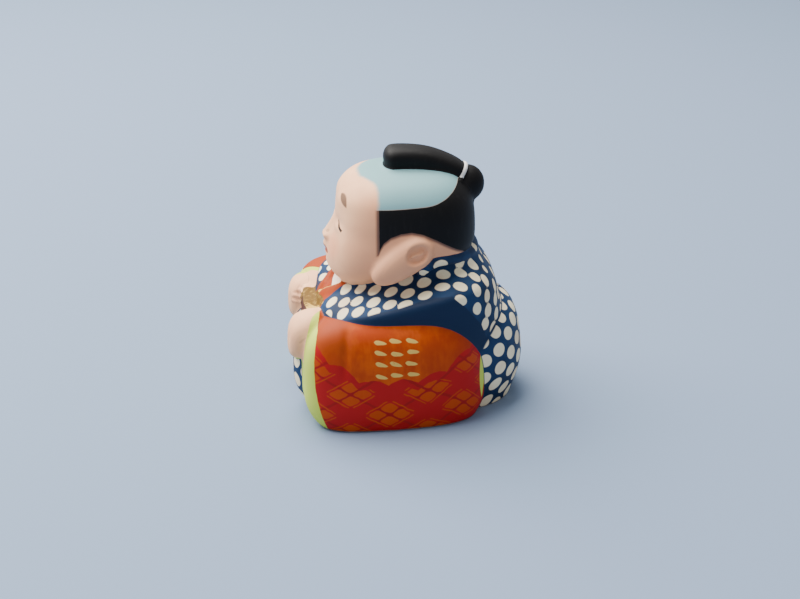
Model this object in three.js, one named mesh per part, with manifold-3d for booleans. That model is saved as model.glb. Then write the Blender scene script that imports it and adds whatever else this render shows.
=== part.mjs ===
// A small painted clay doll of a kneeling good-luck figure, moulded in one piece: a large head with a topknot
// and long ear lobes, a stiff shoulder cape, hanging sleeves, and a folded fan held across the lap.
// Millimetres, +Z up. The doll faces -Y, its left side is +X, and the origin is the middle of its flat
// underside.

import * as THREE from "three";
import { mergeVertices } from "three/addons/utils/BufferGeometryUtils.js";
import Module from "manifold-3d";

// Driving dimensions of the whole doll
const TALL = 79.5;
const HALF_WIDE = 31;
const HALF_DEEP = 36.4;

// A rounded mass is a table of level sections from bottom to top, each one [z, front y, back y, half width,
// squareness]. Squareness is 2 for an ellipse, and more for a fuller outline.
const HEAD_SECTIONS = [
  [38, 2, 2, 0, 2],
  [38.8, -11.5, 12, 11, 2.2],
  [40.2, -19.6, 16, 15.6, 2.6],
  [43.4, -23.2, 19, 18.6, 2.7],
  [47.5, -23.8, 20.6, 20.2, 2.7],
  [52, -23, 20.8, 20.6, 2.7],
  [57, -21.4, 20.8, 20.4, 2.7],
  [62, -20.8, 20.4, 20.1, 2.6],
  [67, -19.9, 18.9, 18.7, 2.5],
  [70.6, -17, 15.6, 15.4, 2.4],
  [72.5, -12.4, 10.6, 11, 2.2],
  [73.3, -7, 3, 5.6, 2],
  [73.5, -2, -2, 0, 2],
];
const CAPE_SECTIONS = [
  [-8, 0, 0, 0, 2],
  [-6, -22, 18, 19, 2.6],
  [10, -26.6, 26, 23.4, 2.8],
  [24, -27.4, 29.2, 24.6, 3],
  [31, -27.4, 27.8, 25.4, 3.1],
  [34.5, -27.2, 26.2, 26.2, 3.2],
  [36.9, -26.6, 24.6, 26.6, 3.2],
  [38.4, -25.2, 23.6, 25.7, 3],
  [39.8, -23, 22.9, 22.6, 2.8],
  [41.1, -21.2, 22.4, 19.4, 2.6],
  [42.6, -18, 21.9, 17, 2.5],
  [44.6, -9, 20.8, 15.8, 2.4],
  [46.2, -2, 17, 13.6, 2.4],
  [47, 5, 5, 0, 2],
];
const SEAT_SECTIONS = [
  [-8, 12, 12, 0, 2],
  [-5, -6, 30.4, 16.4, 2],
  [3, -6, 34.4, 18.8, 2.1],
  [12, -6, HALF_DEEP, 21, 2.2],
  [20, -6, 35.8, 21.4, 2.2],
  [26, -6, 34.6, 21, 2.2],
  [30, -4, 32.4, 19, 2.2],
  [32.6, 2, 28.4, 12, 2],
  [33.4, 18, 18, 0, 2],
];

// The jaw climbs from the chin to the nape: how far, between which two y, and up to what height it is felt
const JAW_RISE = 7.8;
const JAW_FROM = -20;
const JAW_TO = 6;
const JAW_FELT = [40, 57];
const NECK_MIDDLE = [0, 3.5, 45];
const NECK_HALF = [15, 15.4, 9];

// The cape climbs from the chest to the nape: it is level before this y, and then rises at this slope
const CAPE_SLOPE = 0.25;
const CAPE_LEVEL_UNTIL = -14;
const CAPE_SLOPE_EASE = 8;
const CAPE_HEM = 16;
const CAPE_RIDGE = 37;

// Nose: a bridge that widens downward to a round tip
const NOSE_LINE = [
  [0, -20.2, 60],
  [0, -21.6, 56],
  [0, -22.9, 51.8],
];
const NOSE_BRIDGE_HALF = [1.1, 1.3];
const NOSE_WIDENS = [1.5, 0.7];
const NOSE_TIP_MIDDLE = [0, -23.2, 51.6];
const NOSE_TIP_HALF = [3, 2.1, 1.9];
const LIPS_MIDDLE = [0, -20.6, 47.6];
const LIPS_HALF = [5.5, 4.1, 3.6];

// Ear: an egg-shaped rise whose narrow end is the long lobe, with a hollow in its broad end behind
const EAR_MIDDLE = [20, -2.2, 50.6];
const EAR_HALF = [3.9, 10.4, 4.9];
const EAR_LEAN = THREE.MathUtils.degToRad(35);
const EAR_TAPER = 0.14;
const HOLLOW_MIDDLE = [24.6, 2.1, 53.6];
const HOLLOW_HALF = [2.2, 3.6, 3];

// Hair: a topknot folded forward over the shaved crown, its tie, and the bun behind the tie
const TOPKNOT_LINE = [
  [0, -6.6, 75.4],
  [0, -1, 75.9],
  [0, 6, 75.2],
  [0, 12.5, 72.8],
  [0, 17.2, 69.8],
];
const TOPKNOT_HALF_WIDE = 5.6;
const TOPKNOT_HALF_TALL = TALL - 75.9;
const TOPKNOT_THINS = [0.8, 0.3];
const TIE_MIDDLE = [0, 16.2, 70.4];
const TIE_LEAN = THREE.MathUtils.degToRad(58);
const TIE_HALF_WIDE = 4.3;
const TIE_HALF_TALL = 3.6;
const TIE_THICK = 0.6;
const BUN_MIDDLE = [0, 18.6, 67.4];
const BUN_HALF = [4.9, 5.2, 5.6];

// Sleeves hang beside the knees: fullest in front, drawn in and sinking behind, and tucked under in front
const SLEEVE_MIDDLE = [15, -4.5, 14.2];
const SLEEVE_HALF = [HALF_WIDE - 15, 27.5, 20.6];
const SLEEVE_FULLEST = -15;
const SLEEVE_DRAWN_IN = 0.0036;
const SLEEVE_SINKS_FROM = 4.5;
const SLEEVE_SINKS = 0.022;
const SLEEVE_TUCK = 0.018;
const SLEEVE_TUCK_BELOW = 11;
const SLEEVE_TUCK_SPAN = [8, 28];

// The right arm is held out a little higher and further forward than the left
const ARM_LIFT = 2.3;
const ARM_REACH = 2.8;
const ARM_SPAN_X = [3, 15];
const ARM_SPAN_Y = [0, 18];
const ARM_SPAN_Z = [14, 32];

// Knees under the hands
const KNEE_MIDDLE = [11, -13.2, 14.5];
const KNEE_HALF = [13, 21.7, 15.5];

// Hands closed on the ends of the folded fan
const FIST_MIDDLE = [15, -32.4, 26];
const FIST_HALF = [6.8, HALF_DEEP - 32.4, 6.6];
const FIST_DEPTH_BEHIND = 2;
const FIST_LEAN = 0.4;
const FINGER_COUNT = 4;
const FINGER_GROOVE = 0.5;
const FINGER_SPAN = [-1, 3];
const KNUCKLE_SPAN = [2, 5];
const FAN_MIDDLE = [0, -28.6, 28.2];
const FAN_HALF = [14, 3.2, 3.6];

// Neckband strips, which cross at the chest with the left one on top
const LEFT_NECKBAND_LINE = [
  [9.6, -17.4, 40.2],
  [9, -20, 38.6],
  [7.9, -22.4, 36.8],
  [6.6, -24.8, 34.9],
  [4.6, -26.8, 32.4],
];
const RIGHT_NECKBAND_LINE = [
  [-11, -12.6, 42.4],
  [-8, -18, 40],
  [-4.8, -22.2, 37.6],
  [-2.4, -24, 36],
  [0.6, -25.8, 34],
];
const LEFT_NECKBAND_WIDENS = [1, 3.4];
const RIGHT_NECKBAND_WIDENS = [2.3, 2.3];
const NECKBAND_HALF_THICK = 0.9;
const NECKBAND_WIDTHWAYS = [0.73, -0.25, -0.62];

// Standing collar, from below the left ear round the nape to the middle of the back
const COLLAR_LINE = [
  [17, 2.4, 45],
  [18.8, 7.2, 49.4],
  [17.2, 12, 49.6],
  [12.6, 16.9, 49],
  [6.5, 20, 48.6],
  [0, 20.9, 48.4],
];
const COLLAR_HALF = [1.5, 1.4];

const CLAY_COLOUR = 0xd9c9b8;

const wasm = await Module();
wasm.setup();

const { clamp, smoothstep } = THREE.MathUtils;

// One column of a table, read along a smooth curve through its rows, at a share from 0 to 1 of its length
function readColumn(rows, column, share) {
  const place = share * (rows.length - 1);
  const i = Math.min(Math.floor(place), rows.length - 2);
  const [a, b, c, d] = [i - 1, i, i + 1, i + 2].map((k) => rows[clamp(k, 0, rows.length - 1)][column]);
  const t = place - i;
  return b + (t / 2) * (c - a + t * (2 * a - 5 * b + 4 * c - d + t * (3 * (b - c) + d - a)));
}

// A closed ball of points, each moved to the place that its direction gives
function ball(around, down, place) {
  const geometry = new THREE.SphereGeometry(1, around, down).rotateX(Math.PI / 2);
  const points = geometry.attributes.position;
  const direction = new THREE.Vector3();
  for (let i = 0; i < points.count; i++) {
    direction.fromBufferAttribute(points, i).normalize();
    points.setXYZ(i, ...place(direction));
  }
  return geometry;
}

// How far up a ball a direction points, from 0 at the bottom to 1 at the top, in equal angles
const shareUp = (d) => 1 - Math.acos(clamp(d.z, -1, 1)) / Math.PI;

// A rounded mass through a table of level sections
function mass(rows, { around = 36, down = 24, shape = (q) => q } = {}) {
  return ball(around, down, (d) => {
    const [z, front, back, half, square] = [0, 1, 2, 3, 4].map((k) => readColumn(rows, k, shareUp(d)));
    const reach = (Math.abs(d.x) ** square + Math.abs(d.y) ** square) ** (1 / square) || 1;
    return shape([(half * d.x) / reach, (front + back) / 2 + (((back - front) / 2) * d.y) / reach, z]);
  });
}

// A rounded lump: plan and rise are 2 for an ellipsoid, and more for a squarer form
function lump(middle, half, { plan = 2, rise = 2, around = 24, down = 16, shape = (q) => q } = {}) {
  return ball(around, down, (d) => {
    const level = (Math.abs(d.x) ** plan + Math.abs(d.y) ** plan) ** (rise / plan);
    const reach = (level + Math.abs(d.z) ** rise) ** (-1 / rise);
    return shape([0, 1, 2].map((k) => middle[k] + half[k] * reach * d.getComponent(k)));
  });
}

// A blunt-ended roll along a smooth curve: size(share) is [half width, half height], and widthways is the
// direction that the width is measured in, as near as the curve allows
function roll(line, size, { around = 16, down = 14, square = 2.4, blunt = 3, widthways = [1, 0, 0] } = {}) {
  const path = new THREE.CatmullRomCurve3(line.map((q) => new THREE.Vector3(...q)));
  return ball(around, down, (d) => {
    const share = shareUp(d);
    const along = path.getTangent(share);
    const upward = new THREE.Vector3().crossVectors(along, new THREE.Vector3(...widthways)).normalize();
    const across = new THREE.Vector3().crossVectors(upward, along);
    const [wide, tall] = size(share);
    const ring = Math.min(1, blunt * Math.sqrt(share * (1 - share)));
    const reach = (Math.abs(d.x) ** square + Math.abs(d.y) ** square) ** (1 / square) || 1;
    return path
      .getPoint(share)
      .addScaledVector(across, (wide * ring * d.x) / reach)
      .addScaledVector(upward, (tall * ring * d.y) / reach)
      .toArray();
  });
}

function solidOf(geometry) {
  const bare = geometry.clone();
  bare.deleteAttribute("normal");
  bare.deleteAttribute("uv");
  const merged = mergeVertices(bare, 1e-4);
  const vertProperties = merged.attributes.position.array;
  const triVerts = new Uint32Array(merged.index.array);
  return new wasm.Manifold(new wasm.Mesh({ numProp: 3, vertProperties, triVerts }));
}

const onBothSides = (solid) => solid.add(solid.mirror([1, 0, 0]));

// How much a point takes part in the holding out of the right arm, from 0 to 1
const inRightArm = ([x, y, z]) =>
  smoothstep(-x, ...ARM_SPAN_X) * smoothstep(-y, ...ARM_SPAN_Y) * smoothstep(z, ...ARM_SPAN_Z);

function cape() {
  const climb = ([x, y, z]) => {
    const past = y - CAPE_LEVEL_UNTIL;
    const run = (past + Math.hypot(past, CAPE_SLOPE_EASE)) / 2 + CAPE_LEVEL_UNTIL;
    const rise = CAPE_SLOPE * run * smoothstep(z, CAPE_HEM, CAPE_RIDGE);
    return [x, y, z + rise + ARM_LIFT * inRightArm([x, y, z])];
  };
  return solidOf(mass(CAPE_SECTIONS, { around: 36, down: 26, shape: climb }));
}

function head() {
  const liftJaw = ([x, y, z]) => {
    const rise = JAW_RISE * smoothstep(y, JAW_FROM, JAW_TO) * (1 - smoothstep(z, ...JAW_FELT));
    return [x, y, z + rise];
  };
  const skull = solidOf(mass(HEAD_SECTIONS, { around: 36, down: 24, shape: liftJaw }));
  const neck = solidOf(lump(NECK_MIDDLE, NECK_HALF, { around: 24, down: 12 }));
  const widening = (share) => [0, 1].map((k) => NOSE_BRIDGE_HALF[k] + NOSE_WIDENS[k] * share);
  const bridge = solidOf(roll(NOSE_LINE, widening, { around: 12, down: 10, square: 2 }));
  const tip = solidOf(lump(NOSE_TIP_MIDDLE, NOSE_TIP_HALF, { around: 14, down: 8 }));
  const lips = solidOf(lump(LIPS_MIDDLE, LIPS_HALF, { around: 14, down: 8 }));
  return skull.add(neck).add(bridge).add(tip).add(lips);
}

function ear() {
  const egg = ([x, y, z]) => {
    const along = (y - EAR_MIDDLE[1]) / EAR_HALF[1];
    const up = (z - EAR_MIDDLE[2]) * (1 + EAR_TAPER * along);
    const [c, s] = [Math.cos(EAR_LEAN), Math.sin(EAR_LEAN)];
    const run = y - EAR_MIDDLE[1];
    return [x, EAR_MIDDLE[1] + c * run - s * up, EAR_MIDDLE[2] + s * run + c * up];
  };
  const full = { plan: 2.3, rise: 2.3, around: 18, down: 13, shape: egg };
  const rise = solidOf(lump(EAR_MIDDLE, EAR_HALF, full));
  const hollow = solidOf(lump(HOLLOW_MIDDLE, HOLLOW_HALF, { around: 12, down: 8 }));
  return rise.subtract(hollow);
}

function topknot() {
  const [sideways, upward] = TOPKNOT_THINS;
  const thinning = (share) => [TOPKNOT_HALF_WIDE - sideways * share, TOPKNOT_HALF_TALL - upward * share];
  const lock = solidOf(roll(TOPKNOT_LINE, thinning, { around: 18, down: 18, square: 2.8 }));
  const ring = new THREE.TorusGeometry(TIE_HALF_WIDE, TIE_THICK, 6, 20);
  ring.scale(1, TIE_HALF_TALL / TIE_HALF_WIDE, 1).rotateX(TIE_LEAN).translate(...TIE_MIDDLE);
  const tie = solidOf(ring);
  const bun = solidOf(lump(BUN_MIDDLE, BUN_HALF, { around: 18, down: 12 }));
  return lock.add(tie).add(bun);
}

// A sleeve on the +X side, held out like the right arm by a share from 0 to 1
function sleeve(heldOut) {
  const hang = ([x, y, z]) => {
    const behind = Math.max(0, y - SLEEVE_FULLEST);
    const high = smoothstep(z, 0, 2 * SLEEVE_MIDDLE[2]);
    const sunk = SLEEVE_SINKS * Math.max(0, y - SLEEVE_SINKS_FROM) ** 2 * high;
    const tuck = SLEEVE_TUCK * Math.max(0, SLEEVE_TUCK_BELOW - z) ** 2 * smoothstep(-y, ...SLEEVE_TUCK_SPAN);
    const held = heldOut * inRightArm([-x, y, z]);
    return [x - SLEEVE_DRAWN_IN * behind ** 2, y + tuck - ARM_REACH * held, z - sunk + ARM_LIFT * held];
  };
  const boxy = { plan: 4.6, rise: 3.6, around: 32, down: 18, shape: hang };
  return solidOf(lump(SLEEVE_MIDDLE, SLEEVE_HALF, boxy));
}

// The fist is fuller in front, and its fingers lie side by side over the fan with grooves between them
function fist() {
  const [x0, y0, z0] = FIST_MIDDLE;
  const grooved = ([x, y, z]) => {
    const turn = (Math.PI * FINGER_COUNT * (x - x0 + FIST_HALF[0])) / (2 * FIST_HALF[0]);
    const inFront = smoothstep(y0 - y, ...FINGER_SPAN) * (1 - smoothstep(z - z0, ...KNUCKLE_SPAN));
    const keep = 1 - (FINGER_GROOVE / FIST_HALF[1]) * (1 - Math.abs(Math.sin(turn))) * inFront;
    const depth = y > y0 ? FIST_DEPTH_BEHIND : 1;
    const back = (y - y0) * keep * depth;
    return [x, y0 + back, z0 + (z - z0) * keep + FIST_LEAN * back];
  };
  const closed = { plan: 2.6, rise: 2.4, around: 24, down: 12, shape: grooved };
  return solidOf(lump(FIST_MIDDLE, FIST_HALF, closed));
}

function neckbands() {
  const [x, y, z] = NECKBAND_WIDTHWAYS;
  const strip = (line, [top, foot], widthways) => {
    const size = (share) => [top + (foot - top) * share, NECKBAND_HALF_THICK];
    return solidOf(roll(line, size, { around: 10, down: 12, widthways }));
  };
  const left = strip(LEFT_NECKBAND_LINE, LEFT_NECKBAND_WIDENS, [x, y, z]);
  return left.add(strip(RIGHT_NECKBAND_LINE, RIGHT_NECKBAND_WIDENS, [-x, y, z]));
}

function collar() {
  const otherHalf = COLLAR_LINE.slice(0, -1).reverse().map(([x, y, z]) => [-x, y, z]);
  const standing = { around: 7, down: 26, square: 2, blunt: 6, widthways: [0, 0, 1] };
  return solidOf(roll([...COLLAR_LINE, ...otherHalf], () => COLLAR_HALF, standing));
}

function clothes() {
  const seat = solidOf(mass(SEAT_SECTIONS, { around: 30, down: 17 }));
  const knee = solidOf(lump(KNEE_MIDDLE, KNEE_HALF, { plan: 2.6, rise: 2.6, around: 20, down: 12 }));
  const sleeves = sleeve(0).add(sleeve(1).mirror([1, 0, 0]));
  return cape().add(seat).add(onBothSides(knee)).add(sleeves).add(neckbands()).add(collar());
}

function doll() {
  const fan = solidOf(lump(FAN_MIDDLE, FAN_HALF, { plan: 8, rise: 6, around: 16, down: 8 }));
  const whole = clothes()
    .add(onBothSides(fist()))
    .add(fan)
    .add(head())
    .add(onBothSides(ear()))
    .add(topknot());
  const room = 3 * TALL;
  const aboveGround = solidOf(new THREE.BoxGeometry(room, room, room).translate(0, 0, room / 2));
  return whole.intersect(aboveGround);
}

function meshOf(solid, name, material) {
  const made = solid.getMesh();
  const geometry = new THREE.BufferGeometry();
  geometry.setAttribute("position", new THREE.BufferAttribute(made.vertProperties, 3));
  geometry.setIndex(new THREE.BufferAttribute(made.triVerts, 1));
  geometry.computeVertexNormals();
  const mesh = new THREE.Mesh(geometry, material);
  mesh.name = name;
  return mesh;
}

const paintedClay = new THREE.MeshStandardMaterial({ color: CLAY_COLOUR, roughness: 0.75, metalness: 0 });

const group = new THREE.Group();
group.add(meshOf(doll(), "clay_doll", paintedClay));

export default group;
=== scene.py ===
import math

import bpy
import numpy as np
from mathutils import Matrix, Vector
from mathutils.bvhtree import BVHTree
from mathutils.interpolate import poly_3d_calc


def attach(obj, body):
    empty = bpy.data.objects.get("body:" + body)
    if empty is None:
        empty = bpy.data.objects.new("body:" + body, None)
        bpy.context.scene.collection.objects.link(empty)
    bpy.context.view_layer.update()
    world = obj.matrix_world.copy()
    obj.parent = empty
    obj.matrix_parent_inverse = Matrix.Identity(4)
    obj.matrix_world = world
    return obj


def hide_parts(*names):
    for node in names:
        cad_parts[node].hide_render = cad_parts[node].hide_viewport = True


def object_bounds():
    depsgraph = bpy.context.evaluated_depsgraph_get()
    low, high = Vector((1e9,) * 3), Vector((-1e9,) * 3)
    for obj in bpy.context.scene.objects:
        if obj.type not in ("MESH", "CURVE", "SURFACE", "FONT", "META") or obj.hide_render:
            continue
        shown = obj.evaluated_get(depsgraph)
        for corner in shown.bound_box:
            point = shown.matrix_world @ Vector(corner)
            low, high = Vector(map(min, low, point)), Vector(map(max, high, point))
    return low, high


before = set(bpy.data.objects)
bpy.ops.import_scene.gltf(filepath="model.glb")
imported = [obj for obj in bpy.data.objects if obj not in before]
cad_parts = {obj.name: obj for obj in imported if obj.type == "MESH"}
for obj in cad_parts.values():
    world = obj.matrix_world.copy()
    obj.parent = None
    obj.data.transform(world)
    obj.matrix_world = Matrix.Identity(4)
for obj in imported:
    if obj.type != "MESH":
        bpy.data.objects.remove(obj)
cad_low, cad_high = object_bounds()
bpy.ops.object.select_all(action="DESELECT")


# Trousers: the wide seat behind and the two knees in front, under everything else.
# Moulded clay, pressed in one with all the rest. Each mass is a ball of points drawn out to level sections,
# a table of [height, front, back, half width, squareness] from bottom to top, in millimetres.

MM = 0.001
HALF_WIDE = (cad_high.x - cad_low.x) / MM / 2
TALL = cad_high.z / MM
BACK = cad_high.y / MM

SEAT_SECTIONS = [
    [-8, 12, 12, 0, 2],
    [-5, -6, 30.4, 16.4, 2],
    [3, -6, 34.4, 18.8, 2.1],
    [12, -6, BACK, 21, 2.2],
    [20, -6, 35.8, 21.4, 2.2],
    [26, -6, 34.6, 21, 2.2],
    [30, -4, 32.4, 19, 2.2],
    [32.6, 2, 28.4, 12, 2],
    [33.4, 18, 18, 0, 2],
]
KNEE_MIDDLE = (11, -13.2, 14.5)
KNEE_HALF = (13, 21.7, 15.5)


def smoothstep(value, low, high):
    share = np.clip((value - low) / (high - low), 0, 1)
    return share * share * (3 - 2 * share)


def share_up(d):
    return 1 - np.arccos(np.clip(d[:, 2], -1, 1)) / math.pi


def read_column(rows, column, share):
    values = np.array([row[column] for row in rows], float)
    last = len(rows) - 1
    place = share * last
    i = np.minimum(place.astype(int), last - 1)
    a, b, c, d = (values[np.clip(i + k, 0, last)] for k in (-1, 0, 1, 2))
    t = place - i
    return b + t / 2 * (c - a + t * (2 * a - 5 * b + 4 * c - d + t * (3 * (b - c) + d - a)))


def outline_reach(d, square):
    reach = (np.abs(d[:, 0]) ** square + np.abs(d[:, 1]) ** square) ** (1 / square)
    return np.where(reach == 0, 1, reach)


def drawn_mass(rows, shape=lambda q: q):
    def place(d):
        z, front, back, half, square = (read_column(rows, k, share_up(d)) for k in range(5))
        reach = outline_reach(d, square)
        middle = (front + back) / 2
        return shape(np.stack([half * d[:, 0] / reach, middle + (back - front) / 2 * d[:, 1] / reach, z], 1))
    return place


def drawn_lump(middle, half, plan=2, rise=2, shape=lambda q: q):
    def place(d):
        level = (np.abs(d[:, 0]) ** plan + np.abs(d[:, 1]) ** plan) ** (rise / plan)
        reach = (level + np.abs(d[:, 2]) ** rise) ** (-1 / rise)
        return shape(np.array(middle) + np.array(half) * reach[:, None] * d)
    return place


def points_of(piece):
    flat = np.empty(3 * len(piece.data.vertices))
    piece.data.vertices.foreach_get("co", flat)
    return flat.reshape(-1, 3)


def put_points(piece, points):
    piece.data.vertices.foreach_set("co", np.ascontiguousarray(points, dtype=float).ravel())
    piece.data.update()


masses = {}
lumps = []


def press(name, place, around=112, down=80):
    bpy.ops.mesh.primitive_uv_sphere_add(segments=around, ring_count=down, radius=1)
    piece = bpy.context.object
    piece.name = name
    d = points_of(piece)
    d /= np.linalg.norm(d, axis=1)[:, None]
    points = place(d)
    put_points(piece, points)
    faces = [list(face.vertices) for face in piece.data.polygons]
    tree = BVHTree.FromPolygons(points.tolist(), faces)
    masses[name] = {"place": place, "directions": d, "points": points, "faces": faces, "tree": tree}
    bpy.ops.object.mode_set(mode="EDIT")
    bpy.ops.mesh.select_all(action="SELECT")
    bpy.ops.mesh.bisect(plane_co=(0, 0, 0), plane_no=(0, 0, 1), clear_inner=True, use_fill=True)
    bpy.ops.object.mode_set(mode="OBJECT")
    lumps.append(piece)


def press_both_sides(name, left, right=None):
    press(name + "_left", left)
    right = right or left
    press(name + "_right", lambda d: right(d * np.array([-1, 1, 1])) * np.array([-1, 1, 1]))


press("seat", drawn_mass(SEAT_SECTIONS))
press_both_sides("knee", drawn_lump(KNEE_MIDDLE, KNEE_HALF, plan=2.6, rise=2.6))


# Shoulder cape: the stiff sleeveless over-dress, wide as a board at the shoulders and climbing to the nape.
# Moulded clay, in one with the rest, with a soft ridge where the shoulders turn down.

CAPE_SECTIONS = [
    [-8, 0, 0, 0, 2],
    [-6, -22, 18, 19, 2.6],
    [10, -26.6, 26, 23.4, 2.8],
    [24, -27.4, 29.2, 24.6, 3],
    [31, -27.4, 27.8, 25.4, 3.1],
    [34.5, -27.2, 26.2, 26.2, 3.2],
    [36.9, -26.6, 24.6, 26.6, 3.2],
    [38.4, -25.2, 23.6, 25.7, 3],
    [39.8, -23, 22.9, 22.6, 2.8],
    [41.1, -21.2, 22.4, 19.4, 2.6],
    [42.6, -18, 21.9, 17, 2.5],
    [44.6, -9, 20.8, 15.8, 2.4],
    [46.2, -2, 17, 13.6, 2.4],
    [47, 5, 5, 0, 2],
]
ARM_LIFT = 2.3
ARM_REACH = 2.8
ARM_SPAN_X = (3, 15)
ARM_SPAN_Y = (0, 18)
ARM_SPAN_Z = (14, 32)
CAPE_SLOPE = 0.25
CAPE_LEVEL_UNTIL = -14
CAPE_SLOPE_EASE = 8
CAPE_HEM = 16
CAPE_RIDGE = 37


def in_right_arm(q):
    level = smoothstep(-q[:, 0], *ARM_SPAN_X) * smoothstep(-q[:, 1], *ARM_SPAN_Y)
    return level * smoothstep(q[:, 2], *ARM_SPAN_Z)


def climb(q):
    past = q[:, 1] - CAPE_LEVEL_UNTIL
    run = (past + np.hypot(past, CAPE_SLOPE_EASE)) / 2 + CAPE_LEVEL_UNTIL
    rise = CAPE_SLOPE * run * smoothstep(q[:, 2], CAPE_HEM, CAPE_RIDGE) + ARM_LIFT * in_right_arm(q)
    return q + rise[:, None] * np.array([0, 0, 1])


press("cape", drawn_mass(CAPE_SECTIONS, climb))


# Sleeves: they hang beside the knees, fullest in front and drawn in behind, the right one held further out.
# Moulded clay, one to each side, the same but for the lift of the right arm.

SLEEVE_MIDDLE = (15, -4.5, 14.2)
SLEEVE_SMOOTHED_OFF = 0.06
SLEEVE_HALF = (HALF_WIDE - SLEEVE_MIDDLE[0] + SLEEVE_SMOOTHED_OFF, 27.5, 20.6)
SLEEVE_FULLEST = -15
SLEEVE_DRAWN_IN = 0.0036
SLEEVE_SINKS_FROM = 4.5
SLEEVE_SINKS = 0.022
SLEEVE_TUCK = 0.018
SLEEVE_TUCK_BELOW = 11
SLEEVE_TUCK_SPAN = (8, 28)


def hang(q):
    x, y, z = q.T
    behind = np.maximum(0, y - SLEEVE_FULLEST)
    high = smoothstep(z, 0, 2 * SLEEVE_MIDDLE[2])
    sunk = SLEEVE_SINKS * np.maximum(0, y - SLEEVE_SINKS_FROM) ** 2 * high
    tuck = SLEEVE_TUCK * np.maximum(0, SLEEVE_TUCK_BELOW - z) ** 2 * smoothstep(-y, *SLEEVE_TUCK_SPAN)
    return np.stack([x - SLEEVE_DRAWN_IN * behind ** 2, y + tuck, z - sunk], 1)


def hold_out(q):
    hung = hang(q)
    return hung + in_right_arm(q * np.array([-1, 1, 1]))[:, None] * np.array([0, -ARM_REACH, ARM_LIFT])


press_both_sides("sleeve", *(
    drawn_lump(SLEEVE_MIDDLE, SLEEVE_HALF, plan=4.6, rise=3.6, shape=shape) for shape in (hang, hold_out)
))


# Neckband and collar: two flat strips of the under-robe that cross on the chest, left over right, and the
# standing collar of the cape round the nape.
# Moulded clay, laid on the cape in low relief.

LEFT_NECKBAND_LINE = [
    (9.6, -17.4, 40.2), (9, -20, 38.6), (7.9, -22.4, 36.8), (6.6, -24.8, 34.9), (4.6, -26.8, 32.4),
]
RIGHT_NECKBAND_LINE = [
    (-11, -12.6, 42.4), (-8, -18, 40), (-4.8, -22.2, 37.6), (-2.4, -24, 36), (0.6, -25.8, 34),
]
LEFT_NECKBAND_WIDENS = (1, 3.4)
RIGHT_NECKBAND_WIDENS = (2.3, 2.3)
NECKBAND_HALF_THICK = 0.9
NECKBAND_WIDTHWAYS = (0.73, -0.25, -0.62)
COLLAR_LINE = [
    (17, 2.4, 45), (18.8, 7.2, 49.4), (17.2, 12, 49.6), (12.6, 16.9, 49), (6.5, 20, 48.6), (0, 20.9, 48.4),
]
COLLAR_HALF = (1.5, 1.4)


def drawn_roll(line, size, square=2.4, blunt=3, widthways=(1, 0, 0)):
    knots = [[0, *q] for q in line]

    def point(share):
        return np.stack([read_column(knots, k, share) for k in (1, 2, 3)], 1)

    def place(d):
        share = share_up(d)
        step = 0.001
        along = point(np.minimum(share + step, 1)) - point(np.maximum(share - step, 0))
        along /= np.linalg.norm(along, axis=1)[:, None]
        upward = np.cross(along, np.broadcast_to(widthways, along.shape))
        upward /= np.linalg.norm(upward, axis=1)[:, None]
        across = np.cross(upward, along)
        wide, tall = size(share)
        ring = np.minimum(1, blunt * np.sqrt(share * (1 - share)))
        reach = outline_reach(d, square)
        sideways = (wide * ring * d[:, 0] / reach)[:, None] * across
        return point(share) + sideways + (tall * ring * d[:, 1] / reach)[:, None] * upward
    return place


def neckband(line, widens, widthways):
    top, foot = widens

    def size(share):
        return top + (foot - top) * share, NECKBAND_HALF_THICK
    return drawn_roll(line, size, widthways=widthways)


mirrored_ways = (-NECKBAND_WIDTHWAYS[0], *NECKBAND_WIDTHWAYS[1:])
press("neckband_left", neckband(LEFT_NECKBAND_LINE, LEFT_NECKBAND_WIDENS, NECKBAND_WIDTHWAYS))
press("neckband_right", neckband(RIGHT_NECKBAND_LINE, RIGHT_NECKBAND_WIDENS, mirrored_ways))
other_half = [(-x, y, z) for x, y, z in COLLAR_LINE[-2::-1]]
standing = {"square": 2, "blunt": 6, "widthways": (0, 0, 1)}
press("collar", drawn_roll(COLLAR_LINE + other_half, lambda s: COLLAR_HALF, **standing))


# Hands and fan: two closed hands on the ends of a folded fan, held across the lap.
# Moulded clay, the fingers pressed in as grooves.

FIST_MIDDLE = (15, -32.4, 26)
FIST_HALF = (6.8, 4, 6.6)
FIST_DEPTH_BEHIND = 2
FIST_LEAN = 0.4
FINGER_COUNT = 4
FINGER_GROOVE = 0.7
FINGER_SPAN = (-1, 3)
KNUCKLE_SPAN = (2, 5)
FAN_MIDDLE = (0, -28.6, 28.2)
FAN_HALF = (14, 3.2, 3.6)


def grooved(q):
    x0, y0, z0 = FIST_MIDDLE
    x, y, z = q.T
    turn = math.pi * FINGER_COUNT * (x - x0 + FIST_HALF[0]) / (2 * FIST_HALF[0])
    in_front = smoothstep(y0 - y, *FINGER_SPAN) * (1 - smoothstep(z - z0, *KNUCKLE_SPAN))
    keep = 1 - FINGER_GROOVE / FIST_HALF[1] * (1 - np.abs(np.sin(turn))) * in_front
    depth = np.where(y > y0, FIST_DEPTH_BEHIND, 1)
    back = (y - y0) * keep * depth
    return np.stack([x, y0 + back, z0 + (z - z0) * keep + FIST_LEAN * back], 1)


press_both_sides("fist", drawn_lump(FIST_MIDDLE, FIST_HALF, plan=2.6, rise=2.4, shape=grooved))
press("fan", drawn_lump(FAN_MIDDLE, FAN_HALF, plan=8, rise=6))


# Head: large, with full cheeks, on a short neck that the collar stands around.
# Moulded clay; the jaw climbs from the chin to the nape.

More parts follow.
